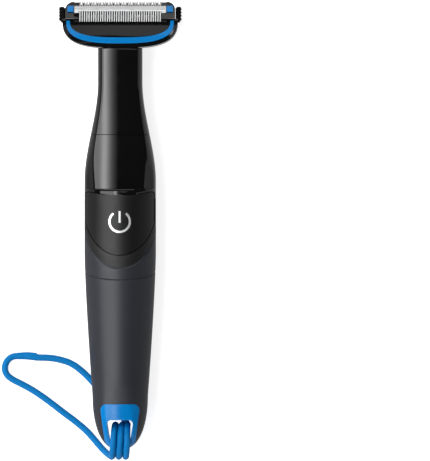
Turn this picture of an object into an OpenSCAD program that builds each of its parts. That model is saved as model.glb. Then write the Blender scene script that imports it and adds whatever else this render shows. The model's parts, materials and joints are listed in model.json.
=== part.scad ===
// Battery body groomer lying on its back: a T-shaped trimming head with two
// guard combs, a slim neck, a round handle with one AA cell, and a cord loop
// through the eyelet at the tail. X is across, +Y runs to the head, and +Z is
// up, out of the front face with the power button.

/* [Handle] */
// Radius of the handle where it is widest
body_r = 13; // [12.8:0.1:13.2]
// Radius of the neck under the head
neck_r = 8.1; // [8:0.1:8.3]
// Wall of the handle's housings
wall = 1.6; // [1.5:0.1:1.7]
// Depth of the flat land along the back, on which the handle rests
land_depth = 0.6; // [0.4:0.1:0.8]

/* [Head] */
// Half of the width of the head's base
base_half = 21; // [20.8:0.1:21.2]
// Half of the width of the blade cartridge
cartridge_half = 19.95; // [19.8:0.05:20]
// Length of each guard comb from the ridge to its tooth tips
comb_len = 5.5; // [5.3:0.1:5.7]
// Number of teeth on each guard comb
tooth_count = 36; // [30:1:38]
// Half of the cutters' stroke
stroke = 0.6; // [0.4:0.1:0.6]

/* [Cord] */
// Diameter of the hanging cord
cord_d = 2.4; // [2.2:0.1:2.4]

/* [Hidden] */
$fn = 64;

axis_z = body_r - land_depth;     // height of the handle's axis
gap = 0.25;                       // gap round pieces that move
half_len = 81.7;                   // from the middle of the part to the tail end
neck_top = 64.5;                  // where the head sits on the neck
neck_seam = 32.9;                 // seam between the neck and the upper housing
taper = 2.9;                      // how much the handle narrows towards the tail
taper_end = -61.7;                // where the tail begins to round off
ledge_y = 11.35;                  // crest of the ledge above the button
seam_y = -16.6;                   // the battery cover's seam at the sides
seam_tilt = 13.4;                 // the seam dips at the front
button_y = 1.3;                   // centre of the power symbol
cell_r = 7.25;                    // AA cell, 50.5 long over its nub
cell_low = -60;
cell_high = -9.5;
eyelet_top = -70.7;
eyelet_low = -79;
ridge_y = 78.6;                   // line where the two guard combs meet
ridge_z = axis_z + 1.5;
front_lean = 33;                  // how far each comb's face leans from facing the front
rear_lean = 56.5;
throw = stroke;                   // the drive pin runs this far off the shaft's axis

function ease(t) = t * t * (3 - 2 * t);
function handle_r(y) =
    y >= 52 ? neck_r :
    y >= 16 ? neck_r + (body_r - neck_r) * ease((52 - y) / 36) :
    y >= -10 ? body_r :
    y >= taper_end ? body_r - taper * pow((-10 - y) / 52, 1.35) :
    max(0.4, (body_r - taper) * pow(1 - pow((taper_end - y) / 20, 2.2), 0.417));
function front_z(y) = axis_z + 5.1 + 3.9 * ease(min(1, max(0, (52 - y) / 36)));
function tail_half(y) = 10.6 * pow(max(0, 1 - pow((-58 - y) / 24, 1.45)), 0.526);

// Places along the axis where the handle's outline has a point
stations = concat(
    [for (t = [90:-9:9]) taper_end - 20 * sin(t)],
    [for (i = [0:8]) taper_end + 6.5 * i],
    [for (i = [0:12]) 16 + 3 * i]);
function between(lo, hi) = concat([lo], [for (y = stations) if (y > lo + 0.1 && y < hi - 0.1) y], [hi]);
function arc(x, y, r, a, b, n = 6) =
    [for (i = [0:n]) [x + r * cos(a + (b - a) * i / n), y + r * sin(a + (b - a) * i / n)]];

// Turns a profile of [radius, y] points round the handle's axis
module turned(points) {
    translate([0, 0, axis_z]) rotate([-90, 0, 0]) rotate_extrude() polygon(points);
}
// A round bar, or a tube, along the axis from one Y to another
module bar(r, lo, hi) {
    translate([0, lo, axis_z]) rotate([-90, 0, 0]) cylinder(r = r, h = hi - lo);
}
module tube(r, bore, lo, hi) {
    difference() {
        bar(r, lo, hi);
        bar(bore, lo - 1, hi + 1);
    }
}
// Extrudes a side-view outline of [y, z] points across X
module across(width) {
    rotate([90, 0, 90]) linear_extrude(width, center = true) children();
}
// The handle's outer form between two places, or its cavity when inset is a wall
module handle(lo, hi, inset = 0) {
    difference() {
        turned(concat([[0, lo]], [for (y = between(lo, hi)) [max(0.2, handle_r(y) - inset), y]], [[0, hi]]));
        if (inset == 0) translate([-20, lo - 1, -20]) cube([40, hi - lo + 2, 20]);
        across(60) polygon(concat(
            [[ledge_y - inset, axis_z + body_r - inset], [ledge_y - inset + 1.6, axis_z + body_r - 0.6 - inset],
                [ledge_y - inset + 1.9, front_z(14) - inset]],
            [for (y = [16:4:52]) [y, front_z(y) - inset]],
            [[70, front_z(52) - inset], [70, 60], [ledge_y - inset, 60]]));
    }
}
// What the flattened tail keeps of the round form
module tail_wedge() {
    low = [for (i = [0:12]) -58 - 24 * sin(90 * i / 12)];
    across(60) polygon(concat(
        [[0, axis_z + 14]], [for (y = low) [y, axis_z + tail_half(y)]],
        [for (i = [11:-1:0]) [low[i], axis_z - tail_half(low[i])]], [[0, axis_z - 14]]));
}
// Everything on the battery cover's side of its dipping seam
module below_seam(back = 0) {
    translate([0, seam_y - back, axis_z]) rotate([seam_tilt, 0, 0])
        translate([-30, -100, -50]) cube([60, 100, 100]);
}

// Outline of the grey U round the button, from the front
u_curve = [for (a = [0:7.5:180]) [13.2 * cos(a), 1 - 16.5 * sin(a)]];
module collar_zone() {
    translate([0, 0, axis_z - 1]) linear_extrude(20)
        polygon(concat(u_curve, [[-20, 1], [-20, -40], [20, -40], [20, 1]]));
    translate([-20, -40, -10]) cube([40, 41, 10 + axis_z]);
}
// Outline of the button from the front: half an ellipse closed by a top that sags a little
module button_outline(grow = 0) {
    polygon(concat(
        [for (a = [-166:6.9:-14]) let (x = (12.9 + grow) * cos(a), y = 6 + (16.8 + grow) * sin(a)) [x, y]],
        [for (t = [1:-0.125:-1]) [(12.5 + grow) * t, 10.8 + grow + 1.5 * t * t]]));
}
// Motor can section: round sides with two flats
module motor_form(lo, hi, grow = 0) {
    intersection() {
        bar(7.75 + grow, lo, hi);
        translate([-20, lo, axis_z - 5.7 - grow]) cube([40, hi - lo, 11.4 + 2 * grow]);
    }
}
// Half a rounded bowl from the front, hanging from its top edge
function bowl(half, top, depth, power) = [for (a = [0:7.5:180]) let (c = cos(a))
    [half * sign(c) * pow(abs(c), 2 / power), top - depth * pow(sin(a), 2 / power)]];

// A round wire or cord along a list of points
function unit(v) = v / norm(v);
function heading(p, i) = unit(p[min(i + 1, len(p) - 1)] - p[max(i - 1, 0)]);
function square_to(n, t) = unit(n - (n * t) * t);
function side_vectors(p) = [for (
    i = 0, n = square_to([0, 0.1, 1], heading(p, 0)); i < len(p);
    i = i + 1, n = i < len(p) ? square_to(n, heading(p, i)) : n) n];
module sweep(p, r, sides = 8) {
    n = side_vectors(p);
    last = (len(p) - 1) * sides;
    polyhedron([for (i = [0:len(p) - 1]) let (t = heading(p, i), v = cross(t, n[i]))
            for (k = [0:sides - 1]) p[i] + r * (cos(360 * k / sides) * n[i] + sin(360 * k / sides) * v)],
        concat(
            [[for (k = [0:sides - 1]) k], [for (k = [sides - 1:-1:0]) last + k]],
            [for (i = [0:len(p) - 2], k = [0:sides - 1])
                [i * sides + k, (i + 1) * sides + k, i * sides + (k + 1) % sides]],
            [for (i = [0:len(p) - 2], k = [0:sides - 1])
                [(i + 1) * sides + k, (i + 1) * sides + (k + 1) % sides, i * sides + (k + 1) % sides]]));
}
// A coil along +Z whose radius may change from one end to the other
function coil(r0, r1, length, turns) = [for (i = [0:10 * turns]) let (f = i / (10 * turns))
    [(r0 + (r1 - r0) * f) * cos(36 * i), (r0 + (r1 - r0) * f) * sin(36 * i), length * f]];

module neck_shell() color("#0c0c0e") {
    difference() {
        handle(neck_seam, neck_top);
        handle(neck_seam - 1, 45, 1.4);
        difference() {
            handle(47, neck_top + 1, 1.4);
            for (x = [-4.4, 4.4]) translate([x, 0, -3]) bar(1.9, 57, neck_top + 2);
        }
        bar(3.5, 44, 48);
        for (x = [-4.4, 4.4]) translate([x, 0, -3]) bar(0.8, 59, neck_top + 1);
    }
}
module upper_housing() color("#111113") {
    difference() {
        handle(-20, neck_seam);
        collar_zone();
        difference() {
            handle(-25, neck_seam + 1, wall);
            for (y = [13.5, 24.5]) difference() {
                bar(14, y, y + 1.4);
                motor_form(y - 1, y + 3, 0.05);
            }
            intersection() {
                translate([0, 0, axis_z + 1.8]) linear_extrude(12) button_outline(1.2);
                tube(11.5, 8.4, -13, 12.9);
            }
        }
        difference() {
            translate([0, 0, axis_z + 3]) linear_extrude(20) button_outline(gap);
            bar(9.4, -20, 20);
        }
        translate([0, button_y, axis_z + 5]) cylinder(r = 1.3, h = 8);
    }
}
module housing_collar() color("#3c3e46") {
    difference() {
        intersection() {
            handle(-24, 1);
            collar_zone();
        }
        below_seam();
        handle(-25, 2, wall);
    }
    difference() {
        union() {
            intersection() {
                bar(11.5, -19, -13.05);
                collar_zone();
            }
            bar(11.1, -23, -13.05);
        }
        difference() {
            below_seam();
            bar(11.1, -24, -12);
        }
        bar(10, -24, -12);
        tube(12, 10.5, -22, -21);
    }
}
module battery_cover() color("#3c3e46") {
    difference() {
        intersection() {
            handle(-half_len, -12);
            below_seam(0.05);
            tail_wedge();
        }
        handle(-63.5, -10, wall);
        bar(11.35, -24, -10);
        linear_extrude(30) insert_outline();
    }
}
module insert_outline() {
    polygon(concat(arc(4.9, -67.1, 2.2, 0, 90), arc(-4.9, -67.1, 2.2, 90, 180),
        arc(-2.4, -77.6, 3.3, 190, 270), arc(2.4, -77.6, 3.3, 270, 350)));
}
module hanger_insert() color("#0a7cc8") {
    difference() {
        intersection() {
            handle(-half_len, -60);
            tail_wedge();
            linear_extrude(30) insert_outline();
        }
        translate([0, 0, -1]) linear_extrude(40) polygon(concat(
            arc(3.2, eyelet_top - 1.5, 1.5, 0, 90), arc(-3.2, eyelet_top - 1.5, 1.5, 90, 180),
            arc(-2.5, eyelet_low + 1.2, 1.2, 190, 270), arc(2.5, eyelet_low + 1.2, 1.2, 270, 350)));
        // The eyelet's back rim is bevelled where the cord comes in
        across(8.4) polygon([[eyelet_top - 1, 8], [eyelet_top + 1.6, 0], [eyelet_low + 2, 0], [eyelet_low + 4, 8]]);
    }
}

module power_button() color("#1b1c1f") {
    difference() {
        intersection() {
            translate([0, 0, axis_z + 3.9]) linear_extrude(12) button_outline();
            bar(body_r, -20, 20);
        }
        bar(10.8, -21, 21);
        icon_form(12.6);
    }
}
// The power symbol's outline, cut off below a radius
module icon_form(low) {
    difference() {
        translate([0, button_y, axis_z + 5]) linear_extrude(10) {
            difference() {
                circle(r = 4.1);
                circle(r = 3.3);
                polygon([[0, 0], [-4.6, 6], [4.6, 6]]);
            }
            translate([-0.4, -0.4]) square([0.8, 4.2]);
        }
        bar(low, -10, 10);
    }
}
module power_icon() color("#d8dadc") intersection() {
    icon_form(12.6);
    bar(body_r + 0.05, -10, 10);
}
module button_spring() color("silver") {
    translate([0, button_y, axis_z + 9.6]) sweep(coil(2.2, 2.2, 0.6, 2), 0.12, 6);
}
module circuit_board() color("#1f6b3a") translate([-6.2, -7, axis_z + 4.4]) cube([12.4, 13, 1]);
module push_switch() color("#26282c") translate([0, button_y, 0]) difference() {
    translate([-2.5, -2.5, axis_z + 5.4]) cube([5, 5, 2.2]);
    translate([0, 0, axis_z + 6]) cylinder(r = 1.05, h = 3);
}
module switch_plunger() color("#e8e6e0") {
    translate([0, button_y, axis_z + 7]) cylinder(r = 1, h = 3.75);
}

module cell_sleeve() color("#46484d") {
    tube(8.3, 7.6, -57, -7.6);
    difference() {
        bar(7.8, -8.4, -7.6);
        bar(1.8, -9, -7);
    }
    difference() {
        tube(9.9, 8.1, -16, -14);
        translate([-2, -17, 0]) cube([4, 4, axis_z - 8.2]);
    }
}
module positive_contact() color("#d9c27a") {
    bar(4.5, -9.4, -9);
    bar(1.5, -9, -7.2);
}
module contact_strip() color("#d9c27a") translate([-1.5, -56, axis_z - 8.65]) cube([3, 48.4, 0.3]);
module negative_spring() color("silver") {
    translate([0, -63.2, axis_z]) rotate([-90, 0, 0]) sweep(coil(5.6, 3.4, 2.8, 3), 0.3, 6);
}
module battery_can() color("#b9bcc2") bar(cell_r, cell_low, cell_high - 1.5);
module battery_cap() color("#d9dade") bar(2.75, cell_high - 1.5, cell_high);

module motor_can() color("#a9adb3") {
    difference() {
        motor_form(9, 28);
        motor_form(8, 27.2, -0.7);
        bar(0.8, 26, 29);
    }
    tube(3, 0.8, 28, 29.2);
}
module motor_end_cap() color("#2a2c30") difference() {
    union() {
        motor_form(7.4, 9);
        motor_form(9, 10.4, -0.8);
    }
    bar(0.8, 7, 11);
}
module motor_rotor() color("#b8763a") {
    tube(4.4, 0.76, 13, 24);
    tube(1.8, 0.76, 10.8, 13);
}
module motor_shaft() color("silver") bar(0.75, 8, 36.6);
module shaft_coupling() color("#e6e4dc") difference() {
    bar(2.3, 33, 41);
    bar(0.76, 32, 37);
    bar(1.22, 36.8, 42);
}
module drive_shaft() color("silver") bar(1.2, 36.9, 72.2);
module eccentric_pin() color("#e6e4dc") {
    difference() {
        bar(1.9, 70.2, 73);
        bar(1.22, 69, 72.3);
    }
    translate([throw, 0, 0]) bar(0.6, 73, 76.4);
}
module neck_bush() color("#c8a24a") {
    tube(3.45, 1.25, 44.6, 47);
    tube(3.8, 1.25, 47, 47.8);
}
module head_bush() color("#c8a24a") tube(2.95, 1.25, 65, 68.2);
module shaft_seal() color("#202124") tube(3.3, 1.3, 68.4, 69.6);
module sealing_ring() color("#202124") {
    turned_ring = 10.93;
    translate([0, -21.5, axis_z]) rotate([-90, 0, 0]) rotate_extrude() translate([turned_ring, 0]) circle(r = 0.4);
}
module lead(side) {
    sweep([for (p = [[3, -7.1, -3], [4.5, -5, -2], [6, -1, 0.4], [6, 3, 2], [5, 6.9, 2.6]])
        [side * p[0], p[1], axis_z + p[2]]], 0.5);
}
module red_lead() color("#c02a22") lead(1);
module black_lead() color("#1a1a1a") lead(-1);
module neck_screws() color("#9a9da2") for (x = [-4.4, 4.4]) translate([x, 0, -3]) {
    bar(0.78, 60, 67.5);
    bar(1.6, 67.5, 68.6);
}

// Front surface of the head's base, as [y, height over the axis]
head_front = [[64.5, 5.5], [66.5, 5.8], [69, 4.7], [72.5, 3.7], [74, 3.1], [75.1, 2.4]];
module front_layer(out, deep) {
    across(60) polygon(concat(
        [for (p = head_front) [p[0], axis_z + p[1] + out]],
        [for (i = [len(head_front) - 1:-1:0]) [head_front[i][0], axis_z + head_front[i][1] - deep]]));
}
module panel_zone() linear_extrude(40) polygon(bowl(18.3, 74.4, 6.2, 2.8));
module trim_zone() linear_extrude(40) difference() {
    polygon(bowl(19.6, 74.4, 8.4, 2.8));
    polygon(bowl(18.3, 74.5, 6.3, 2.8));
}
module head_shell() color("#0c0c0e") {
    difference() {
        intersection() {
            translate([0, 0, -1]) linear_extrude(40) polygon(bowl(base_half, 75.1, 10.6, 3));
            across(60) polygon(concat(
                [for (p = head_front) [p[0], axis_z + p[1]]],
                [[75.1, axis_z - 7.2], [68, axis_z - 8], [64.5, axis_z - 8.1]]));
        }
        translate([-17.2, 69.8, axis_z - 6.2]) cube([34.4, 6, 7.7]);
        bar(2.3, 69, 74.2);
        bar(3, 63, 68.3);
        bar(3.35, 68.3, 70);
        for (x = [-4.4, 4.4]) translate([x, 0, -3]) {
            bar(0.85, 63, 68);
            bar(1.8, 67.5, 70);
        }
        intersection() {
            front_layer(2, 0.8);
            union() {
                panel_zone();
                trim_zone();
            }
        }
        for (side = [0, 1]) mirror([side, 0, 0]) {
            translate([15.3, 72.2, axis_z - 2.9]) cube([8, 4, 4.2]);
            translate([19.6, 74.1, axis_z - 3.8]) cube([4, 3, 6]);
        }
    }
    // Ears under the catches
    for (side = [0, 1]) mirror([side, 0, 0])
        translate([20.1, 74, axis_z - 6.4]) cube([1.6, 5.3, 2.5]);
}
module head_panel() color("#16171b") intersection() {
    front_layer(0, 0.78);
    linear_extrude(40) polygon(bowl(18.2, 74.35, 6.08, 2.8));
}
module head_trim() color("#0a86cf") intersection() {
    front_layer(0.3, 0.78);
    trim_zone();
}
// The ribbed catch on one side of the head, which holds the cartridge
module release_button() color("#0e0e10") {
    translate([20.5, 74.4, axis_z - 3.4]) cube([1.6, 5.1, 5.2]);
    for (i = [0:3]) translate([22.1, 75.1 + 1.2 * i, axis_z - 3]) cylinder(r = 0.3, h = 4.4);
    translate([17.6, 72.5, axis_z - 2.6]) cube([3.1, 2.2, 3.6]);
}
module release_button_right() release_button();
module release_button_left() mirror([1, 0, 0]) release_button();
module catch_spring() color("silver") {
    translate([15.5, 73.6, axis_z - 0.8]) rotate([0, 90, 0]) sweep(coil(0.9, 0.9, 1.9, 4), 0.15, 6);
}
module catch_spring_right() catch_spring();
module catch_spring_left() mirror([1, 0, 0]) catch_spring();

// Places its children on a comb's face: X across, Y away from the ridge, Z out
module on_front() translate([0, ridge_y, ridge_z]) rotate([-front_lean, 0, 0]) mirror([0, 1, 0]) children();
module on_rear() translate([0, ridge_y, ridge_z]) rotate([-rear_lean, 0, 0]) children();
// A strip with a row of round-ended teeth
module comb(half, start, strip, tip, top, thick, teeth, tooth_w, tooth_half) {
    pitch = 2 * tooth_half / (teeth - 1);
    translate([-half, start, top - thick]) cube([2 * half, strip - start, thick]);
    for (i = [0:teeth - 1]) translate([pitch * i - tooth_half, 0, top - thick]) {
        translate([-tooth_w / 2, strip - 0.1, 0]) cube([tooth_w, tip - strip - tooth_w / 2 + 0.1, thick]);
        translate([0, tip - tooth_w / 2, 0]) cylinder(r = tooth_w / 2, h = thick, $fn = 16);
    }
}
module front_guard_comb() color("#d9dbde") on_front() {
    comb(16.7, 0.1, 0.8, comb_len, 0, 0.35, tooth_count, 0.42, 14.6);
    for (x = [-16.7, 15]) translate([x, 0.7, -0.35]) cube([1.7, 0.9, 0.35]);
}
module rear_guard_comb() color("#d9dbde") on_rear()
    comb(16.7, 0.1, 2.4, comb_len, 0, 0.35, tooth_count, 0.42, 14.6);
module front_cutter_blade() color("#b4b7bb") on_front()
    comb(13.9, 0.5, 2, comb_len - 0.4, -0.4, 0.3, 23, 0.6, 13.4);
module rear_cutter_blade() color("#b4b7bb") on_rear()
    comb(13.9, 0.5, 2.6, comb_len - 0.4, -0.4, 0.3, 23, 0.6, 13.4);
module cutter_carrier() color("#e6e4dc") {
    difference() {
        translate([0, 0, axis_z]) across(25) polygon(
            [[77.5, 1.28], [75.72, 2.46], [75.3, 2.1], [75.3, -2.6], [78.9, -2.6], [79.85, -1.85], [78.4, 0.4]]);
        translate([-1.85, 73, axis_z - 9]) cube([3.7, 3.9, 20]);
    }
    for (x = [-3.6, 1.85]) translate([x, 73.9, axis_z - 1.6]) cube([1.75, 1.6, 2.8]);
}
module cutter_spring() color("silver") translate([0, 76, axis_z]) rotate([-90, 0, 0]) mirror([0, 1, 0])
    linear_extrude(1.6) polygon(concat(
        [for (i = [-2:2]) [4.5 * i, i % 2 == 0 ? -4.95 : -3]],
        [for (i = [2:-1:-2]) [4.5 * i, i % 2 == 0 ? -4.7 : -2.75]]));
module cartridge_frame() color("#101114") {
    intersection() {
        translate([0, 0, axis_z]) {
            for (side = [0, 1]) mirror([side, 0, 0]) {
                translate([17.35, 0, 0]) across(5) polygon([[75.3, -6.6], [75.3, 3.2], [78.33, 1.23],
                    [81.28, -3.2], [81.3, -5], [79.8, -6.6]]);
                translate([18.4, 0, 0]) across(3.2) polygon([[75.3, -6.6], [75.3, 3.95], [78.78, 1.68],
                    [81.45, -2.4], [81.45, -5], [79.8, -6.6]]);
            }
            across(36) polygon([[75.3, -6.6], [75.3, -5], [80.4, -5], [80.6, -5.8], [79.8, -6.6]]);
        }
        translate([0, 0, -1]) linear_extrude(40) polygon(concat([[-cartridge_half, 75], [cartridge_half, 75]],
            arc(cartridge_half - 3, 78.5, 3, 0, 90), arc(3 - cartridge_half, 78.5, 3, 90, 180)));
    }
}
module guard_end_clips() color("#0a86cf") for (side = [0, 1]) mirror([side, 0, 0])
    translate([18.05, 0, axis_z]) across(2.3) polygon([[77.39, 2.6], [77.67, 3.02], [79.15, 2.07],
        [79.97, 0.83], [79.55, 0.55], [78.79, 1.7]]);

// The cord's route: from the splice along the top of the loop, under the tail,
// three times round the eyelet's lower bar, and back along the bottom of the loop
coil_y = -78.4;
coil_r = 5.8;
function coil_at(a) = [2.6 - 2.5 * max(0, a - 90) / 360, coil_y + coil_r * cos(a), axis_z + coil_r * sin(a)];
cord_route = concat([
    [-30.2, -48.4, 1.2], [-25.6, -48.6, 1.2], [-21.8, -49.3, 1.2], [-18.2, -50.6, 1.2],
    [-14.8, -52.9, 1.2], [-11.6, -55.9, 1.2], [-8.6, -59.4, 1.2], [-5.6, -63, 1.2],
    [-2.9, -66, 1.2], [-0.8, -68.4, 1.4], [0.8, -70.4, 2.2], [1.9, -71.8, 3.9],
    [2.4, -72.5, 6.2], [2.6, -72.7, 9.2]
], [for (a = [0:30:900]) coil_at(a)], [
    [-3.7, -84, 9.4], [-5, -83.2, 6.5], [-7, -81.4, 3.9], [-9.4, -78.7, 2.1], [-12.4, -75.4, 1.3],
    [-16.2, -72.1, 1.2], [-20.6, -68.8, 1.2], [-25, -65.4, 1.2], [-29.4, -62.2, 1.2],
    [-33, -59.9, 1.2], [-36.7, -57.9, 1.2], [-40.2, -56, 1.2], [-41.7, -54.6, 1.2],
    [-42.4, -52.8, 1.2], [-42.2, -50.9, 1.2], [-41.3, -49.3, 1.2], [-39.8, -48.2, 1.2], [-38, -47.8, 1.2]
]);
module hanging_cord() color("#0a7cc8") sweep(cord_route, cord_d / 2);
module cord_splice() color("#0a7cc8") {
    sweep([[-38, -47.8, 1.2], [-34.5, -47.9, 1.2], [-30.2, -48.4, 1.2]], cord_d / 2 + 0.05);
    sweep([[-39.4, -47.9, 1.3], [-34.5, -47.4, 1.3], [-30.8, -47.7, 1.3]], 1);
}

neck_shell();
upper_housing();
housing_collar();
battery_cover();
hanger_insert();
power_button();
power_icon();
button_spring();
circuit_board();
push_switch();
switch_plunger();
cell_sleeve();
positive_contact();
contact_strip();
negative_spring();
battery_can();
battery_cap();
motor_can();
motor_end_cap();
motor_rotor();
motor_shaft();
shaft_coupling();
drive_shaft();
eccentric_pin();
neck_bush();
head_bush();
shaft_seal();
sealing_ring();
red_lead();
black_lead();
neck_screws();
head_shell();
head_panel();
head_trim();
release_button_left();
release_button_right();
catch_spring_left();
catch_spring_right();
cartridge_frame();
front_guard_comb();
rear_guard_comb();
guard_end_clips();
cutter_carrier();
front_cutter_blade();
rear_cutter_blade();
cutter_spring();
hanging_cord();
cord_splice();
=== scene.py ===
"""Dresses the battery body groomer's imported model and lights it.

The groomer lies on its back on a pale floor: +Y runs to the trimming head, +X
is across and +Z is up, out of the face with the power button. Shapes are worked
out in millimetres, and close() turns them to metres.
"""

import json
import math

import bmesh
import bpy
from mathutils import Matrix, Vector


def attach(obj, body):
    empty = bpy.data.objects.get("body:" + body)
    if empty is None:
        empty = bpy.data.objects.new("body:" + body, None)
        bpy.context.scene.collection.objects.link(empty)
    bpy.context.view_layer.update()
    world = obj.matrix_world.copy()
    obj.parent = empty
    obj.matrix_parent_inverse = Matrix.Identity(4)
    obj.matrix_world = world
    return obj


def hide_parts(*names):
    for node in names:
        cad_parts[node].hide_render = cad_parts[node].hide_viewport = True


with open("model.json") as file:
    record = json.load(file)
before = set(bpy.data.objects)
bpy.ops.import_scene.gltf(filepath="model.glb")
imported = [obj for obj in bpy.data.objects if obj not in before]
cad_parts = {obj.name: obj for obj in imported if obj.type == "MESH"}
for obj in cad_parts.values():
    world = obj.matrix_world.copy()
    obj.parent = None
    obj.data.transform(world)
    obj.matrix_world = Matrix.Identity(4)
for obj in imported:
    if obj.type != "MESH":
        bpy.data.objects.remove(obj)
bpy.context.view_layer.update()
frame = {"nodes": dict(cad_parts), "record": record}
record = frame["record"]

MM = 0.001
AXIS_Z = 12.4  # height of the handle's axis over the floor
COLUMNS = 192  # steps of a skin round the handle

# The handle's round form, with places along Y from the tail to the head
NECK_R = 8.1
BODY_R = 13.0
WALL = 1.6
NECK_WALL = 1.4
NECK_TOP = 64.5
FLARE_TOP = 52  # the neck is straight above this
FLARE = 36  # and widens to the body over this length
NECK_SEAM = 32.9
TAPER_TOP = -10  # the body narrows from here
TAPER = 2.9  # by this much
TAPER_LENGTH = 52  # over this length
TAIL_ROUND = -61.7  # where the tail begins to round off
TAIL_END = -81.7
TAIL_FLAT = -58.0  # where the tail begins to flatten
TAIL_HALF = 10.6  # half of the tail's thickness there

# The front facet, and the ledge that rises from it to the button
FACET_LOW = 5.1  # height of the facet over the axis, on the neck
FACET_RISE = 3.9  # how much it gains down to the ledge
FACET_CROWN = 46.0  # radius of the facet, which is a little crowned
LEDGE_FOOT = 13.25
LEDGE_TOP = 11.35
LEDGE_STEEP = 0.15  # the part of the ledge's width that is a steep wall
LEDGE_WALL = 0.86  # the part of its height that the wall takes; a crown takes the rest
SHOULDER = 1.4  # how far the sides step down above the ledge
SHOULDER_LENGTH = 16

# The power button, from the front: half an ellipse under a straight-sided top
BUTTON_HALF = 12.9
BUTTON_DEPTH = 16.8
BUTTON_MIDDLE = 6  # where the ellipse is widest
BUTTON_SIDE = 12.4
BUTTON_TOP = 10.8
BUTTON_SAG = 1.5  # how far the button's top sags between its two corners
BUTTON_BASE = 3.95  # height of its lowest edge over the axis
BUTTON_WALL = 2.2

# The grey collar, from its U-shaped edge to its spigot inside the battery cover
U_TOP = 1.0
U_HALF = 13.2
U_DEPTH = 16.5
SEAM_MIDDLE = -16.6  # the cover's seam at the sides; it dips towards the front
SEAM_SLOPE = 0.2385
COLLAR_GAP = 0.02  # from the seam to the collar
COVER_GAP = 0.05  # from the seam to the cover
SPIGOT_R = 11.1
SPIGOT_BORE = 10
SPIGOT_TOP = -13.05
SPIGOT_ROWS = 10
SPIGOT_END = -23
GROOVE_R = 10.5  # the sealing ring's groove
GROOVE = (-22, -21)
COVER_BORE = 11.35  # radius of the cover's bore round the spigot
COVER_STEP = -24  # where that bore ends


# ---------------------------------------------------------------- camera, cord

camera = bpy.data.objects.new("camera", bpy.data.cameras.new("camera"))
camera.data.sensor_fit = "VERTICAL"
camera.data.sensor_height = 36
camera.data.lens = 429
camera.data.clip_start = 0.05
camera.data.clip_end = 50
camera.location = (0.0345, -0.0019, 2.0124)
bpy.context.collection.objects.link(camera)
bpy.context.scene.camera = camera

CORD_D = 2.4
COIL_Y = -78.4  # middle of the turns round the eyelet's lower bar
COIL_R = 5.8


def coil_at(angle):
    """A place on the turns, whose middle line shifts towards -X by 2.5 mm a turn."""
    turn = math.radians(angle)
    shift = 2.5 * max(0, angle - 90) / 360
    return 2.6 - shift, COIL_Y + COIL_R * math.cos(turn), AXIS_Z + COIL_R * math.sin(turn)


CORD_ROUTE = [
    (-30.2, -48.4, 1.2), (-25.6, -48.6, 1.2), (-21.8, -49.3, 1.2), (-18.2, -50.6, 1.2),
    (-14.8, -52.9, 1.2), (-11.6, -55.9, 1.2), (-8.6, -59.4, 1.2), (-5.6, -63, 1.2),
    (-2.9, -66, 1.2), (-0.8, -68.4, 1.4), (0.8, -70.4, 2.2), (1.9, -71.8, 3.9),
    (2.4, -72.5, 6.2), (2.6, -72.7, 9.2),
    *[coil_at(angle) for angle in range(0, 901, 30)],
    (-3.7, -84, 9.4), (-5, -83.2, 6.5), (-7, -81.4, 3.9), (-9.4, -78.7, 2.1), (-12.4, -75.4, 1.3),
    (-16.2, -72.1, 1.2), (-20.6, -68.8, 1.2), (-25, -65.4, 1.2), (-29.4, -62.2, 1.2),
    (-33, -59.9, 1.2), (-36.7, -57.9, 1.2), (-40.2, -56, 1.2), (-41.7, -54.6, 1.2),
    (-42.4, -52.8, 1.2), (-42.2, -50.9, 1.2), (-41.3, -49.3, 1.2), (-39.8, -48.2, 1.2),
    (-38, -47.8, 1.2),
]


def strand(name, points, diameter):
    """A round cord whose middle line runs smoothly through the points."""
    line = bpy.data.curves.new(name, "CURVE")
    line.dimensions = "3D"
    line.resolution_u = 6
    line.bevel_depth = diameter / 2 * MM
    line.bevel_resolution = 5
    line.use_fill_caps = True
    spline = line.splines.new("BEZIER")
    spline.bezier_points.add(len(points) - 1)
    for knot, point in zip(spline.bezier_points, points):
        knot.co = Vector(point) * MM
        knot.handle_left_type = knot.handle_right_type = "AUTO"
    piece = bpy.data.objects.new(name, line)
    bpy.context.collection.objects.link(piece)
    return piece


cord_loop = strand("cord_loop", CORD_ROUTE, CORD_D)
cord_lap = strand(
    "cord_lap", [(-38, -47.8, 1.2), (-34.5, -47.9, 1.2), (-30.2, -48.4, 1.2)], CORD_D + 0.1
)
cord_tail = strand(
    "cord_tail", [(-39.4, -47.9, 1.3), (-34.5, -47.4, 1.3), (-30.8, -47.7, 1.3)], 2
)


# ------------------------------------------------------------------- materials

def colour(code):
    """Linear colour from an sRGB hex value."""
    steps = [int(code[i : i + 2], 16) / 255 for i in (0, 2, 4)]
    return (*[s / 12.92 if s <= 0.04045 else ((s + 0.055) / 1.055) ** 2.4 for s in steps], 1)


def add(tree, kind, sockets=(), **settings):
    """Adds a node with its settings, and sets or links its sockets."""
    node = tree.nodes.new(kind)
    for name, value in settings.items():
        setattr(node, name, value)
    for name, value in dict(sockets).items():
        if isinstance(value, bpy.types.NodeSocket):
            tree.links.new(value, node.inputs[name])
        else:
            node.inputs[name].default_value = value
    return node


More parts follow.
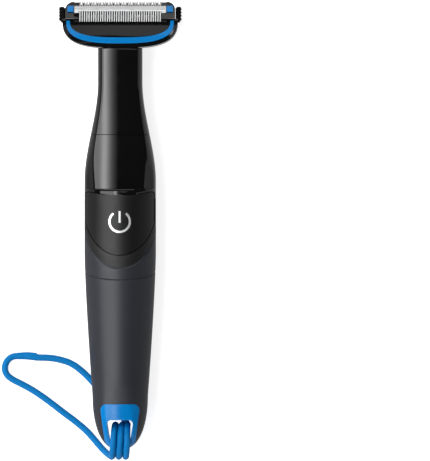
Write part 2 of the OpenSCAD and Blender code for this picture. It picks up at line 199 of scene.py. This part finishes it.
def finish(name, base, tint, grain, rough, relief, stretch=(1, 1, 1), satin_end=None, **shader):
    """A finish whose colour drifts from base to tint, whose roughness runs between the
    two values of rough, and whose relief is that many millimetres deep, all on a grain of
    that many millimetres, drawn out along an axis by stretch. With satin_end, it turns
    satin below that place along Y."""
    material = bpy.data.materials.new(name)
    material.use_nodes = True
    tree = material.node_tree
    tree.nodes.clear()
    place_on = add(tree, "ShaderNodeTexCoord")
    spread = add(
        tree,
        "ShaderNodeMapping",
        {"Vector": place_on.outputs["Object"], "Scale": Vector(stretch) / (grain * MM)},
    )
    noise = add(
        tree,
        "ShaderNodeTexNoise",
        {"Vector": spread.outputs[0], "Scale": 1.0, "Detail": 3.0, "Roughness": 0.55},
    )
    drift = add(
        tree,
        "ShaderNodeTexNoise",
        {"Vector": place_on.outputs["Object"], "Scale": 1 / (14 * MM), "Detail": 2.0},
    )
    mixed = add(
        tree,
        "ShaderNodeMix",
        {0: drift.outputs["Fac"], 6: colour(base), 7: colour(tint)},
        data_type="RGBA",
    )
    roughness = add(
        tree,
        "ShaderNodeMapRange",
        {"Value": noise.outputs["Fac"], 1: 0.3, 2: 0.7, 3: rough[0], 4: rough[1]},
    )
    dull = roughness.outputs[0]
    if satin_end is not None:
        axes = add(tree, "ShaderNodeSeparateXYZ", {0: place_on.outputs["Object"]})
        satin = add(
            tree,
            "ShaderNodeMapRange",
            {"Value": axes.outputs["Y"], 1: satin_end * MM, 2: (satin_end + 0.4) * MM, 3: 0.5, 4: 0.0},
        )
        dull = add(
            tree, "ShaderNodeMath", {0: dull, 1: satin.outputs[0]}, operation="ADD"
        ).outputs[0]
    bump = add(
        tree,
        "ShaderNodeBump",
        {"Height": noise.outputs["Fac"], "Strength": 1.0, "Distance": relief * MM},
    )
    surface = add(
        tree,
        "ShaderNodeBsdfPrincipled",
        {
            "Base Color": mixed.outputs[2],
            "Roughness": dull,
            "Normal": bump.outputs[0],
            **{key.replace("_", " "): value for key, value in shader.items()},
        },
    )
    add(tree, "ShaderNodeOutputMaterial", {"Surface": surface.outputs[0]})
    return material


FINISHES = {
    # Polished ABS: near black, with mirror reflections that waver a little; the mould
    # is satin on the bezel round the button
    "gloss_black": finish(
        "gloss_black_abs", "050506", "070708", 6, (0.05, 0.1), 0.002, satin_end=9.6, IOR=1.53
    ),
    # Soft-touch lacquer over the button: a broad, dim highlight and a dry look
    "matte_black": finish("soft_touch_black", "060607", "09090A", 0.5, (0.42, 0.52), 0.004, IOR=1.45),
    # Soft-touch lacquer on the grip: slate grey, with a satin highlight
    "slate_grey": finish("soft_touch_slate", "24262D", "292B32", 0.6, (0.4, 0.48), 0.003, IOR=1.45),
    # Glossy moulded polypropylene, a saturated blue
    "blue_plastic": finish("moulded_blue", "006EB2", "0276BC", 5, (0.16, 0.24), 0.003, IOR=1.36),
    # Extruded soft PVC cord, satin, with faint marks of the die along it
    "blue_cord": finish("soft_pvc_blue", "0068A6", "0272B4", 1.4, (0.55, 0.68), 0.01, IOR=1.22),
    # Hot-foil silver print
    "silver_print": finish("silver_foil", "D8D9DB", "EDEDEF", 0.5, (0.3, 0.42), 0.002, Metallic=0.55),
    # Polished stainless steel with fine lapping lines across the comb
    "comb_steel": finish(
        "lapped_comb_steel", "E4E5E6", "F0F0F0", 0.4, (0.2, 0.32), 0.001, (0.08, 1, 1), Metallic=1
    ),
    # Ground tool steel, its colour darkened far below its own as painted shade, so the gaps between the
    # comb teeth look deep and shadowed
    "blade_steel": finish(
        "blade_steel_painted_shade", "101113", "1A1B1D", 0.3, (0.4, 0.5), 0.002, (0.1, 1, 1), Metallic=1
    ),
    # Drawn spring wire
    "spring_steel": finish("drawn_spring_wire", "B4B5B8", "C6C7CA", 0.4, (0.2, 0.3), 0.001, Metallic=1),
    # Ground round bar
    "shaft_steel": finish(
        "ground_shaft_steel", "B0B2B6", "BFC1C4", 0.4, (0.18, 0.28), 0.001, (1, 0.1, 1), Metallic=1
    ),
    # Zinc-plated deep-drawn can
    "motor_steel": finish("zinc_plated_can", "A3A6A9", "B5B7B8", 3, (0.32, 0.38), 0.002, Metallic=1),
    # Enamelled copper wire, wound side by side
    "copper": finish(
        "enamelled_copper", "9A4A1E", "B5622C", 0.35, (0.25, 0.4), 0.02, (0.1, 1, 0.1), Metallic=1
    ),
    # Nickel-plated brass strip
    "nickel_strip": finish("nickel_plated_brass", "C8BE9E", "D6CEB2", 0.8, (0.22, 0.34), 0.002, Metallic=1),
    # Nickel-plated can of the cell under a clear sleeve
    "cell_metal": finish("nickel_plated_cell", "B4B7BB", "C4C6C8", 3, (0.3, 0.33), 0.001, Metallic=1),
    # Sintered oil bronze, fine pored
    "bush_bronze": finish("sintered_bronze", "8E6A35", "A67F46", 0.35, (0.4, 0.55), 0.01, Metallic=1),
    # Nitrile rubber
    "seal_rubber": finish("nitrile_rubber", "161618", "1E1E20", 0.4, (0.6, 0.75), 0.006, IOR=1.52),
    # Solder mask over glass laminate
    "board_green": finish("solder_mask_green", "165A30", "1E6E3C", 0.8, (0.25, 0.4), 0.004, IOR=1.55),
    # Self-coloured acetal
    "ivory_plastic": finish("moulded_acetal", "DCD8CC", "E6E3DA", 1.5, (0.32, 0.42), 0.002, IOR=1.48),
    # Unpainted ABS chassis with a spark-eroded grain
    "chassis_plastic": finish("grained_chassis_abs", "3E4045", "484A50", 0.6, (0.5, 0.62), 0.008, IOR=1.53),
    # PVC sleeved leads
    "red_wire": finish("red_lead_pvc", "A81E18", "B82A22", 1, (0.35, 0.45), 0.003, IOR=1.52),
    "black_wire": finish("black_lead_pvc", "151517", "1C1C1E", 1, (0.35, 0.45), 0.003, IOR=1.52),
}
slot_of = {row["node"]: row["material_slot"] for row in record["subparts"]}
body_of = {
    node: body for body, nodes in record["behaviour"]["bodies"].items() for node in nodes
}


def dress(piece, *nodes, slot=None):
    """Gives a piece the body, the slot and the finish of the CAD node it stands for."""
    slot = slot or slot_of[nodes[0]]
    piece.data.materials.clear()
    piece.data.materials.append(FINISHES[slot])
    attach(piece, body_of[nodes[0]])
    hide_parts(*nodes)
    return piece


dress(cord_loop, "hanging_cord")
dress(cord_lap, "cord_splice")
dress(cord_tail, "cord_splice")


# ----------------------------------------------------------- the handle's form

def ease(t):
    """A rise from 0 to 1 with a level start and end."""
    t = min(1.0, max(0.0, t))
    return t * t * (3 - 2 * t)


def lower_of(a, b, blend):
    """The lower of two heights, with a rounded change from one to the other."""
    if blend <= 0:
        return min(a, b)
    h = max(blend - abs(a - b), 0) / blend
    return min(a, b) - h * h * blend / 4


def upper_of(a, b, blend):
    """The upper of two heights, rounded in the same way."""
    return -lower_of(-a, -b, blend)


def handle_r(y):
    """Radius of the handle's round form at a place along it."""
    if y >= FLARE_TOP - FLARE:
        return NECK_R + (BODY_R - NECK_R) * ease((FLARE_TOP - y) / FLARE)
    if y >= TAPER_TOP:
        return BODY_R
    if y >= TAIL_ROUND:
        return BODY_R - TAPER * ((TAPER_TOP - y) / TAPER_LENGTH) ** 1.35
    part = (TAIL_ROUND - y) / (TAIL_ROUND - TAIL_END)
    return (BODY_R - TAPER) * max(0.0, 1 - part ** 2.2) ** 0.417


def facet_z(y):
    """Height of the front facet over the axis."""
    return FACET_LOW + FACET_RISE * ease((FLARE_TOP - y) / FLARE)


def tail_half(y):
    """Half of the tail's thickness, below where it begins to flatten."""
    return TAIL_HALF * max(0.0, 1 - ((TAIL_FLAT - y) / 24) ** 1.45) ** 0.526


def sag(x):
    """How much higher along Y the button's top runs at a place across it."""
    return BUTTON_SAG * (x / 12.5) ** 2


def ledge_rise(part):
    """Height gained over the ledge's width: a steep wall, then a crown that levels off."""
    if part < LEDGE_STEEP:
        return LEDGE_WALL * max(0.0, part) / LEDGE_STEEP
    left = (1 - min(1.0, part)) / (1 - LEDGE_STEEP)
    return 1 - (1 - LEDGE_WALL) * left * left


def on_handle(turn, y, inset=0.0):
    """A place on the handle's skin, turned round the axis from +X towards +Z."""
    r = max(0.0, handle_r(y) - inset)
    x, up = r * math.cos(turn), r * math.sin(turn)
    if y > LEDGE_TOP and up > 0:
        side = ease((math.sin(turn) - 0.25) / 0.35)
        drop = SHOULDER * side * (1 - ease((y - LEDGE_FOOT) / SHOULDER_LENGTH))
        facet = facet_z(max(y, LEDGE_FOOT)) - x * x / (2 * FACET_CROWN)
        low = lower_of(up - drop, facet - inset, 0.7)
        top = LEDGE_TOP + sag(x)
        up = low + (up - low) * ledge_rise((LEDGE_FOOT - y) / (LEDGE_FOOT - top))
    if y < TAIL_FLAT:
        half = max(0.0, tail_half(y) - inset)
        flat = max(0.0, lower_of(abs(up), half, min(2.0, half)))
        up = math.copysign(flat, up)
    z = AXIS_Z + up
    if inset < 0.5:
        z = upper_of(z, inset, 0.3)
    return x, y, z


def u_line(turn):
    """Y of the grey collar's edge: a U on the front and straight across the back."""
    x = abs(BODY_R * math.cos(turn))
    if math.sin(turn) <= 0:
        return U_TOP
    return U_TOP - U_DEPTH * math.sqrt(1 - (x / U_HALF) ** 2)


def seam_line(turn, r=BODY_R):
    """Y of the battery cover's seam."""
    return SEAM_MIDDLE - SEAM_SLOPE * r * math.sin(turn)


# -------------------------------------------------------------- mesh builders

def close(bm, name, sharp=35, normals=True):
    """Makes an object of a bmesh in millimetres, smooth but for edges over an angle."""
    bmesh.ops.scale(bm, vec=(MM, MM, MM), verts=bm.verts)
    bmesh.ops.remove_doubles(bm, verts=bm.verts, dist=1e-6)
    if normals:
        bmesh.ops.recalc_face_normals(bm, faces=bm.faces)
    mesh = bpy.data.meshes.new(name)
    bm.to_mesh(mesh)
    bm.free()
    mesh.shade_smooth()
    mesh.set_sharp_from_angle(angle=math.radians(sharp))
    piece = bpy.data.objects.new(name, mesh)
    bpy.context.collection.objects.link(piece)
    return piece


def turned_skin(name, rows, place, columns=COLUMNS, ring=False, sharp=35):
    """A skin spun from a row of corners: place(turn, row) says where each corner goes.
    With ring, the last row joins the first, as on a tube with a wall."""
    bm = bmesh.new()
    line = [bm.verts.new((row + 1.0, 0, 0)) for row in range(rows)]
    edges = [bm.edges.new(pair) for pair in zip(line, line[1:])]
    if ring:
        edges.append(bm.edges.new((line[-1], line[0])))
    bmesh.ops.spin(
        bm, geom=line + edges, cent=(0, 0, 0), axis=(0, 0, 1), angle=math.tau,
        steps=columns, use_merge=True, use_duplicate=False,
    )
    for corner in bm.verts:
        row = round(corner.co.xy.length) - 1
        corner.co = place(math.atan2(corner.co.y, corner.co.x), row)
    return close(bm, name, sharp)


def prism(name, outline, low, high):
    """A block with an outline of [x, y] places, from one height to another."""
    bm = bmesh.new()
    base = bm.faces.new([bm.verts.new((x, y, low)) for x, y in outline])
    top = bmesh.ops.extrude_face_region(bm, geom=[base])["geom"]
    bmesh.ops.translate(
        bm, vec=(0, 0, high - low), verts=[v for v in top if isinstance(v, bmesh.types.BMVert)]
    )
    return close(bm, name)


def cut(piece, cutter, sharp=35):
    """Takes the cutter's form out of a piece, for good."""
    taken = piece.modifiers.new("cut", "BOOLEAN")
    taken.operation = "DIFFERENCE"
    taken.solver = "EXACT"
    taken.object = cutter
    bpy.context.view_layer.update()
    mesh = bpy.data.meshes.new_from_object(
        piece.evaluated_get(bpy.context.evaluated_depsgraph_get())
    )
    piece.modifiers.clear()
    piece.data = mesh
    bpy.data.objects.remove(cutter)
    mesh.shade_smooth()
    mesh.set_sharp_from_angle(angle=math.radians(sharp))
    return piece


def softened(node, width=0.0, segments=2, sharp=35):
    """A copy of a CAD node with its edges rounded over by a width in millimetres."""
    bm = bmesh.new()
    bm.from_mesh(frame["nodes"][node].data)
    bmesh.ops.remove_doubles(bm, verts=bm.verts, dist=2e-6)
    bmesh.ops.dissolve_limit(
        bm, angle_limit=math.radians(0.5), verts=bm.verts, edges=bm.edges, delimit={"NORMAL"}
    )
    bmesh.ops.scale(bm, vec=(1 / MM, 1 / MM, 1 / MM), verts=bm.verts)
    piece = close(bm, f"{node}_moulding", sharp, normals=False)
    if width:
        edge = piece.modifiers.new("rounded_edges", "BEVEL")
        edge.width = width * MM
        edge.segments = segments
        edge.limit_method = "ANGLE"
        edge.angle_limit = math.radians(30)
        edge.harden_normals = True
    return dress(piece, node)


def steps(start, end, count):
    """Even steps from one value to another, both of them included."""
    return [start + (end - start) * i / count for i in range(count + 1)]


# ------------------------------------------------------------- neck and housing

RIM = 0.12  # a tube's outer edge is eased over this length
RIM_DEPTH = 0.14  # and by this much


def wall_rows(lines, wall):
    """Rows round a tube's wall: the outside upwards, the rims, the inside downwards.
    Each is a place along the handle and a depth under its skin."""
    rim = [(lines[0], RIM_DEPTH)] + [(y, 0.0) for y in lines[1:-1]] + [(lines[-1], RIM_DEPTH)]
    return rim + [(y, wall) for y in reversed(lines)]


neck_rows = wall_rows(
    [NECK_SEAM, NECK_SEAM + RIM] + steps(NECK_SEAM + 1, 63, 34) + [64.3, NECK_TOP],
    NECK_WALL,
)
neck = turned_skin(
    "neck_tube", len(neck_rows), lambda turn, row: on_handle(turn, *neck_rows[row]), ring=True
)
dress(neck, "neck_shell")

# The lower rows follow the U line and are level from here to the neck
BEZEL_DIP = 0.28  # the bezel lies a little under the grey collar's edge
BEZEL_SLOPE = 3.4  # and comes up over this length
HOUSING_LEVEL = 9.7
housing_low = steps(0, 1, 36)
housing_high = (
    steps(HOUSING_LEVEL, 11.2, 4)[1:] + steps(11.3, 13.4, 24) + steps(13.6, 15.4, 6)
    + steps(16.4, NECK_SEAM - 0.6, 15) + [NECK_SEAM - RIM, NECK_SEAM]
)
housing_rows = len(housing_low) + len(housing_high)


def housing_place(turn, row):
    """Runs up the outside and back down the inside."""
    inside = row >= housing_rows
    if inside:
        row = 2 * housing_rows - 1 - row
    if row < len(housing_low):
        start = u_line(turn)
        y = start + (HOUSING_LEVEL - start) * housing_low[row]
        dip = BEZEL_DIP * (1 - ease((y - start) / BEZEL_SLOPE)) if math.sin(turn) > 0.12 else 0
        return on_handle(turn, y, WALL if inside else dip)
    y = housing_high[row - len(housing_low)]
    edge = RIM_DEPTH if y == NECK_SEAM else 0.0
    return on_handle(turn, y, WALL if inside else edge)


housing = turned_skin("housing_tube", 2 * housing_rows, housing_place, ring=True)


def button_line(grow=0.0, count=96):
    """Outline of the power button from the front, with its two corners eased."""
    start, end = math.radians(-166), math.radians(-14)
    sweep = [start + (end - start) * i / count for i in range(count + 1)]
    line = [
        ((BUTTON_HALF + grow) * math.cos(a), BUTTON_MIDDLE + (BUTTON_DEPTH + grow) * math.sin(a))
        for a in sweep
    ]
    side = BUTTON_SIDE + grow
    top = BUTTON_TOP + grow
    corner = [(side, top + 0.7), (side - 0.25, top + 1.1), (side - 0.9, top + 1.28)]
    across = [(x, top + sag(x)) for x in steps(10.6, -10.6, 22)]
    return line + corner + across + [(-x, y) for x, y in reversed(corner)]


WELL_GAP = 0.25  # round the button
WELL_FLOOR = 3  # height over the axis
cut(housing, prism("well", button_line(WELL_GAP), AXIS_Z + WELL_FLOOR, AXIS_Z + 16))
dress(housing, "upper_housing")

# ------------------------------------------------------------------ power button

# Parts of the way from the middle of the face to its edge, then the edge and the
# underside with how deep they lie
BUTTON_ROWS = [0.0, 0.15, 0.3, 0.45, 0.6, 0.74, 0.85, 0.92, 0.955, 0.975, 0.99]
EDGE_ROWS = [
    (1.0, 0.05), (1.0, 0.2), (1.0, 0.6), (1.0, 1.4),
    (1.0, BUTTON_WALL), (0.5, BUTTON_WALL), (0.0, BUTTON_WALL),
]
button_edge = button_line(-0.02)


def button_place(turn, row):
    """Runs from the middle of the face out to the edge, down it and back underneath."""
    where = round(turn / math.tau * len(button_edge)) % len(button_edge)
    x, y = button_edge[where]
    if row < len(BUTTON_ROWS):
        part = BUTTON_ROWS[row]
        rim = max(0.0, part - 0.955) / 0.035
        deep = 0.05 * rim * rim
    else:
        part, deep = EDGE_ROWS[row - len(BUTTON_ROWS)]
    x, y = x * part, -1 + (y + 1) * part
    r = BODY_R - 0.03 - deep
    x = max(-r + 0.05, min(r - 0.05, x))
    return x, y, AXIS_Z + max(BUTTON_BASE, math.sqrt(r * r - x * x))


button = turned_skin(
    "button_pad", len(BUTTON_ROWS) + len(EDGE_ROWS), button_place, columns=len(button_edge)
)
dress(button, "power_button")

# -------------------------------------------------- grey collar and battery cover

COLLAR_LIP = 0.3  # how deep the eased edge goes along the U
COLLAR_WALL = 1.3
collar_rows = [0.0, 0.01, 0.1, 0.13] + steps(0.17, 0.94, 20) + [0.98, 1.0]
collar_depth = [COLLAR_LIP, 0.24, 0.02] + [0.0] * (len(collar_rows) - 4) + [0.05]


def spigot_profile(turn):
    """The spigot that plugs into the cover, from the seam round to the collar's inside, as
    radii and places along the handle."""
    low, high = GROOVE
    return [
        (SPIGOT_R, seam_line(turn, SPIGOT_R) + COLLAR_GAP), (SPIGOT_R, high), (GROOVE_R, high),
        (GROOVE_R, low), (SPIGOT_R, low), (SPIGOT_R, SPIGOT_END), (SPIGOT_BORE, SPIGOT_END),
        (SPIGOT_BORE, SPIGOT_TOP), (COVER_BORE, SPIGOT_TOP),
        (COVER_BORE, min(u_line(turn) - 0.02, SPIGOT_TOP)),
    ]


def collar_place(turn, row):
    """Runs down the outside to the seam, round the spigot and up to the U-shaped edge."""
    top = u_line(turn)
    if row < len(collar_rows):
        low = seam_line(turn) + COLLAR_GAP
        return on_handle(turn, top + (low - top) * collar_rows[row], collar_depth[row])
    row -= len(collar_rows)
    if row < SPIGOT_ROWS:
        r, y = spigot_profile(turn)[row]
        return r * math.cos(turn), y, AXIS_Z + r * math.sin(turn)
    return on_handle(turn, top, COLLAR_WALL)


collar = turned_skin("collar_band", len(collar_rows) + SPIGOT_ROWS + 1, collar_place, ring=True)
dress(collar, "housing_collar")

# Rows from the dipping seam to the tail's end, then up the bore to its floor
COVER_EVEN = -34.0  # by here the rows no longer follow the seam
COVER_EDGE = [0.26, 0.16]  # how deep the eased rim goes at its first rows
cover_low = [0.0, 0.006, 0.03, 0.06] + steps(0.1, 1, 14)
cover_high = steps(COVER_EVEN, TAIL_ROUND, 16)[1:]
cover_tail = [
    TAIL_ROUND + (TAIL_END - TAIL_ROUND) * math.sin(a) for a in steps(0, math.pi / 2, 26)[1:]
]
BORE_FLOOR = -63.5
cover_bore = [BORE_FLOOR, BORE_FLOOR] + steps(-60, -25, 9) + [COVER_STEP, COVER_STEP + 0.1]


def cover_place(turn, row):
    """Runs from the seam down the outside to the tail's end, then up the bore to the rim."""
    if row < len(cover_low):
        start = seam_line(turn) - COVER_GAP
        edge = COVER_EDGE[row] if row < len(COVER_EDGE) else 0.0
        return on_handle(turn, start + (COVER_EVEN - start) * cover_low[row], edge)
    row -= len(cover_low)
    if row < len(cover_high):
        return on_handle(turn, cover_high[row])
    row -= len(cover_high)
    if row < len(cover_tail):
        return on_handle(turn, cover_tail[row])
    row -= len(cover_tail)
    if row == 0:  # the middle of the bore's floor
        return 0, BORE_FLOOR, AXIS_Z
    if row < len(cover_bore):
        y = cover_bore[row]
        r = COVER_BORE if y > COVER_STEP else handle_r(y) - WALL
    else:
        r, y = COVER_BORE, seam_line(turn) - COVER_GAP
    return r * math.cos(turn), y, AXIS_Z + r * math.sin(turn)


# Two skins closed on each other: the outside ends in a pole, and so does the bore
outside_rows = len(cover_low) + len(cover_high) + len(cover_tail)
all_rows = outside_rows + len(cover_bore) + 1


def cover_row(turn, row):
    """Runs from the tail's end up the outside, over the rim and down the bore."""
    if row < outside_rows:
        return cover_place(turn, outside_rows - 1 - row)
    return cover_place(turn, outside_rows + all_rows - 1 - row)


cover = turned_skin("cover_shell", all_rows, cover_row)


def arc(x, y, r, start, end, count=8):
    """Places round an arc, from one angle in degrees to another."""
    return [
        (x + r * math.cos(math.radians(a)), y + r * math.sin(math.radians(a)))
        for a in steps(start, end, count)
    ]


INSERT_LINE = (
    arc(4.9, -67.1, 2.2, 0, 90) + arc(-4.9, -67.1, 2.2, 90, 180)
    + arc(-2.4, -77.6, 3.3, 190, 270) + arc(2.4, -77.6, 3.3, 270, 350)
)
cut(cover, prism("eyelet_hole", INSERT_LINE, -1, 30))
dress(cover, "battery_cover")
softened("hanger_insert", 0.35, 3)

# ------------------------------------------------------------------- small parts

softened("head_shell", 0.5, 3, sharp=40)
softened("head_panel", 0.12, 2, sharp=40)
softened("head_trim", 0.2, 2, sharp=40)
for side in ("left", "right"):
    softened(f"release_button_{side}", 0.25, 3)
softened("cartridge_frame", 0.3, 3)
softened("guard_end_clips", 0.15, 2)
softened("front_guard_comb", 0.05, 1)
softened("rear_guard_comb", 0.05, 1)
softened("cutter_carrier", 0.1, 2)
for node in (
    "front_cutter_blade", "rear_cutter_blade", "power_icon",
    "button_spring", "switch_plunger", "motor_can", "motor_end_cap", "motor_rotor", "motor_shaft",
    "shaft_coupling", "drive_shaft", "eccentric_pin", "neck_bush", "head_bush", "shaft_seal",
    "sealing_ring", "red_lead", "black_lead", "neck_screws", "catch_spring_left",
    "catch_spring_right", "cutter_spring", "circuit_board", "push_switch", "cell_sleeve",
    "positive_contact", "contact_strip", "negative_spring", "battery_can", "battery_cap",
):
    softened(node)

# ------------------------------------------------------------------ stage, lights

def glow(name, strength):
    """A material that gives white light, and its emission node."""
    material = bpy.data.materials.new(name)
    material.use_nodes = True
    tree = material.node_tree
    tree.nodes.clear()
    light = add(tree, "ShaderNodeEmission", {"Color": colour("FFFFFF"), "Strength": strength})
    add(tree, "ShaderNodeOutputMaterial", {"Surface": light.outputs[0]})
    return material, light


floor_bm = bmesh.new()
bmesh.ops.create_grid(floor_bm, x_segments=1, y_segments=1, size=4000)
bmesh.ops.translate(floor_bm, vec=(0, 0, -0.05), verts=floor_bm.verts)
floor = close(floor_bm, "floor", normals=False)
floor.visible_glossy = False
paper = bpy.data.materials.new("white_paper")
paper.use_nodes = True
shade = paper.node_tree.nodes["Principled BSDF"]
shade.inputs["Base Color"].default_value = colour("C8C8C8")
shade.inputs["Roughness"].default_value = 0.8
shade.inputs["Emission Color"].default_value = colour("FFFFFF")
shade.inputs["Emission Strength"].default_value = 0.82
floor.data.materials.append(paper)


def card(name, size, lies_at, tilt, strength):
    """A flat card that is seen only in reflections, with its material and emission node."""
    bm = bmesh.new()
    bmesh.ops.create_grid(bm, x_segments=1, y_segments=1, size=0.5)
    bmesh.ops.scale(bm, vec=(*size, 1), verts=bm.verts)
    turned = Matrix.Rotation(math.radians(tilt), 3, "X")
    bmesh.ops.rotate(bm, cent=(0, 0, 0), matrix=turned, verts=bm.verts)
    bmesh.ops.translate(bm, vec=lies_at, verts=bm.verts)
    made = close(bm, name, normals=False)
    made.visible_camera = False
    made.visible_diffuse = False
    made.visible_shadow = False
    cloth, light = glow(f"{name}_cloth", strength)
    made.data.materials.append(cloth)
    return made, cloth, light


# The floor as the gloss sees it, darker than the white paper, and a white card on it
# beyond the head for the rear comb
card("grey_paper", (4000, 4000), (0, 0, -1.5), 0, 0.4)
card("head_card", (260, 700), (0, 460, -1), 0, 1.1)

# A diffuser over the left shoulder. Its light grows quickly outwards to a peak and
# falls off again, which draws a hard edge down the middle of the front facet.
CARD_HEIGHT = 900.0
PEAK_POWER = 9.0
near = CARD_HEIGHT * math.tan(math.radians(3.3))
far = CARD_HEIGHT * math.tan(math.radians(66))
diffuser, cloth, card_light = card(
    "left_diffuser", (far - near, 1800), (-(far + near) / 2, 0, CARD_HEIGHT), 180, 1.0
)
diffuser.visible_diffuse = True
tree = cloth.node_tree
where = add(tree, "ShaderNodeTexCoord")
axes = add(tree, "ShaderNodeSeparateXYZ", {0: where.outputs["Object"]})
across = add(
    tree, "ShaderNodeMapRange", {"Value": axes.outputs["X"], 1: -near * MM, 2: -0.35, 3: 0.0, 4: 1.0}
)
growth = add(tree, "ShaderNodeFloatCurve", {"Value": across.outputs[0]})
curve = growth.mapping.curves[0]
# Parts of the way across from the near edge, and parts of the full light there
GROWTH = [(0.09, 0.05), (0.275, 0.17), (0.48, 0.5), (0.66, 0.8), (0.85, 0.5), (1.0, 0.38)]
curve.points[0].location = (0, 0.02)
curve.points[1].location = GROWTH[-1]
for point in GROWTH[:-1]:
    curve.points.new(*point)
growth.mapping.update()
brightness = add(tree, "ShaderNodeMath", {0: growth.outputs[0], 1: PEAK_POWER}, operation="MULTIPLY")
tree.links.new(brightness.outputs[0], card_light.inputs["Strength"])


def soft_light(name, place, size, power):
    """A rectangular soft light that faces the middle of the handle."""
    light = bpy.data.lights.new(name, "AREA")
    light.shape = "RECTANGLE"
    light.size, light.size_y = size
    light.energy = power
    lamp = bpy.data.objects.new(name, light)
    lamp.location = place
    lamp.rotation_euler = Vector(place).to_track_quat("Z", "Y").to_euler()
    bpy.context.collection.objects.link(lamp)


soft_light("north_light", (0, 1.9, 0.75), (2.4, 0.5), 5)
soft_light("south_light", (0, -1.9, 1.0), (2.4, 0.6), 3.5)
soft_light("right_light", (1.7, 0, 0.35), (0.5, 1.6), 1.2)
soft_light("panel_light", (0.1, 0.78, 1.1), (0.7, 0.42), 0.7)  # for the head's dark panel

world = bpy.data.worlds.new("studio")
world.use_nodes = True
world.node_tree.nodes["Background"].inputs["Color"].default_value = colour("FFFFFF")
world.node_tree.nodes["Background"].inputs["Strength"].default_value = 0.05
bpy.context.scene.world = world
bpy.context.scene.view_settings.view_transform = "Standard"
